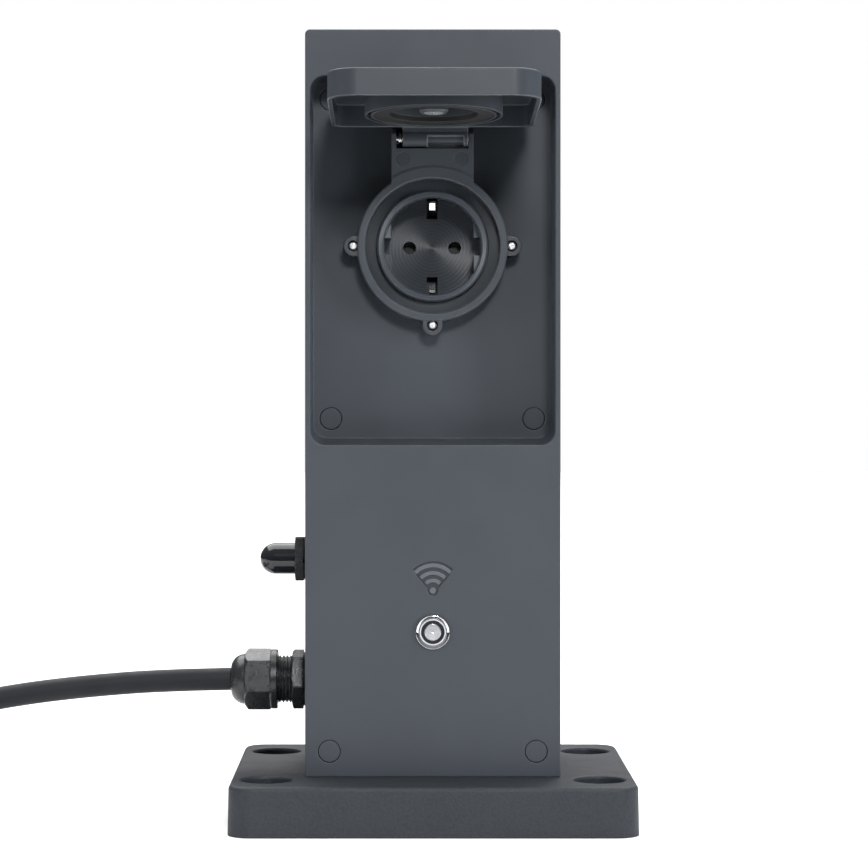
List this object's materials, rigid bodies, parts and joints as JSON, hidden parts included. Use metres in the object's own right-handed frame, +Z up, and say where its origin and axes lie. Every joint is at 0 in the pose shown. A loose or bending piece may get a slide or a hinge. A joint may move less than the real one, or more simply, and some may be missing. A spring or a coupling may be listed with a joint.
{
  "type": "power outlet post",
  "caption": "Short anthracite outdoor power post on a flat foot, with a lidded earthed socket in a front recess, push button, stub antenna, cable gland and mains cord.",
  "frame": {"origin": "on the ground, in the middle of the foot's anchor holes", "axes": "+Z up, -Y out of the front face with the socket, +X to the right when looking at the front"},
  "size_m": [0.4174, 0.2317, 0.3262],
  "materials": {
    "foot_coat": "sand-textured powder coat, anthracite",
    "post_coat": "fine satin anthracite",
    "cap_plastic": "satin anthracite",
    "seal_rubber": "matt",
    "steel": "zinc plated",
    "socket_plastic": "satin anthracite",
    "insert_plastic": "turned sheen, dark anthracite",
    "brass": "bright",
    "spring_steel": "nickel plated",
    "shutter_plastic": "matt",
    "chrome_trim": "polished",
    "light_ring": "translucent white",
    "black_plastic": "semi-matt",
    "black_gloss": "polished",
    "button_metal": "satin",
    "cable_rubber": "smooth matt",
    "board": "solder mask",
    "terminal_plastic": "moulded",
    "relay_plastic": "moulded",
    "capacitor_can": "sleeved can",
    "shield_can": "tinned",
    "wire_brown": "insulation",
    "wire_blue": "insulation",
    "wire_green": "insulation",
    "tie_fabric": "hook-and-loop band",
    "plug_rubber": "moulded",
    "nickel_pins": "nickel plated"
  },
  "bodies": {
    "root": {"antenna_lead": "black_plastic", "antenna_locknut": "steel", "antenna_nut": "black_plastic", "antenna_radome": "black_gloss", "antenna_washer": "seal_rubber", "base_foot": "foot_coat", "board_screws": "steel", "bracket_plugs": "socket_plastic", "button_barrel": "black_plastic", "button_bezel": "chrome_trim", "button_light_ring": "light_ring", "button_nut": "steel", "button_seal": "seal_rubber", "button_spring": "spring_steel", "cable_coil": "cable_rubber", "cable_inner": "cable_rubber", "cable_tail": "cable_rubber", "capacitor": "capacitor_can", "coil_tie": "tie_fabric", "control_board": "board", "cover_screws": "steel", "earth_clip": "spring_steel", "foot_screws": "steel", "front_cover": "post_coat", "gland_body": "black_plastic", "gland_cap_nut": "black_plastic", "gland_locknut": "black_plastic", "gland_seal": "seal_rubber", "gland_washer": "seal_rubber", "hinge_pin": "steel", "hinge_spring": "spring_steel", "housing_gasket": "seal_rubber", "mains_terminals": "terminal_plastic", "pin_contacts": "brass", "plug_body": "plug_rubber", "plug_pins": "nickel_pins", "plug_relief": "plug_rubber", "power_cable": "cable_rubber", "power_module": "relay_plastic", "rear_housing": "post_coat", "relay": "relay_plastic", "screw_caps": "cap_plastic", "shutter_spring": "spring_steel", "socket_frame": "socket_plastic", "socket_frame_gasket": "seal_rubber", "socket_frame_screws": "steel", "socket_insert": "insert_plastic", "socket_rear_block": "insert_plastic", "terminal_screws": "steel", "wire_earth": "wire_green", "wire_line": "wire_brown", "wire_neutral": "wire_blue", "wireless_module": "shield_can"},
    "lid": {"lid_shell": "post_coat", "lid_seal_carrier": "socket_plastic", "lid_gasket": "seal_rubber", "lid_screw": "steel"},
    "button": {"button_cap": "button_metal"},
    "shutter": {"shutter": "shutter_plastic"}
  },
  "joints": [
    {"name": "lid_hinge", "type": "hinge", "parent": "root", "child": "lid", "pos_m": [0, -0.0228, 0.2827], "axis": [1, 0, 0], "range_deg": [0, 93.5]},
    {"name": "button_press", "type": "slide", "parent": "root", "child": "button", "axis": [0, 1, 0], "range_m": [0, 0.0015], "stiffness_N_per_m": 600, "deforming": ["button_spring"]},
    {"name": "shutter_turn", "type": "hinge", "parent": "root", "child": "shutter", "pos_m": [0, -0.002, 0.2381], "axis": [0, 1, 0], "range_deg": [0, 40], "stiffness_Nm_per_rad": 0.004}
  ]
}
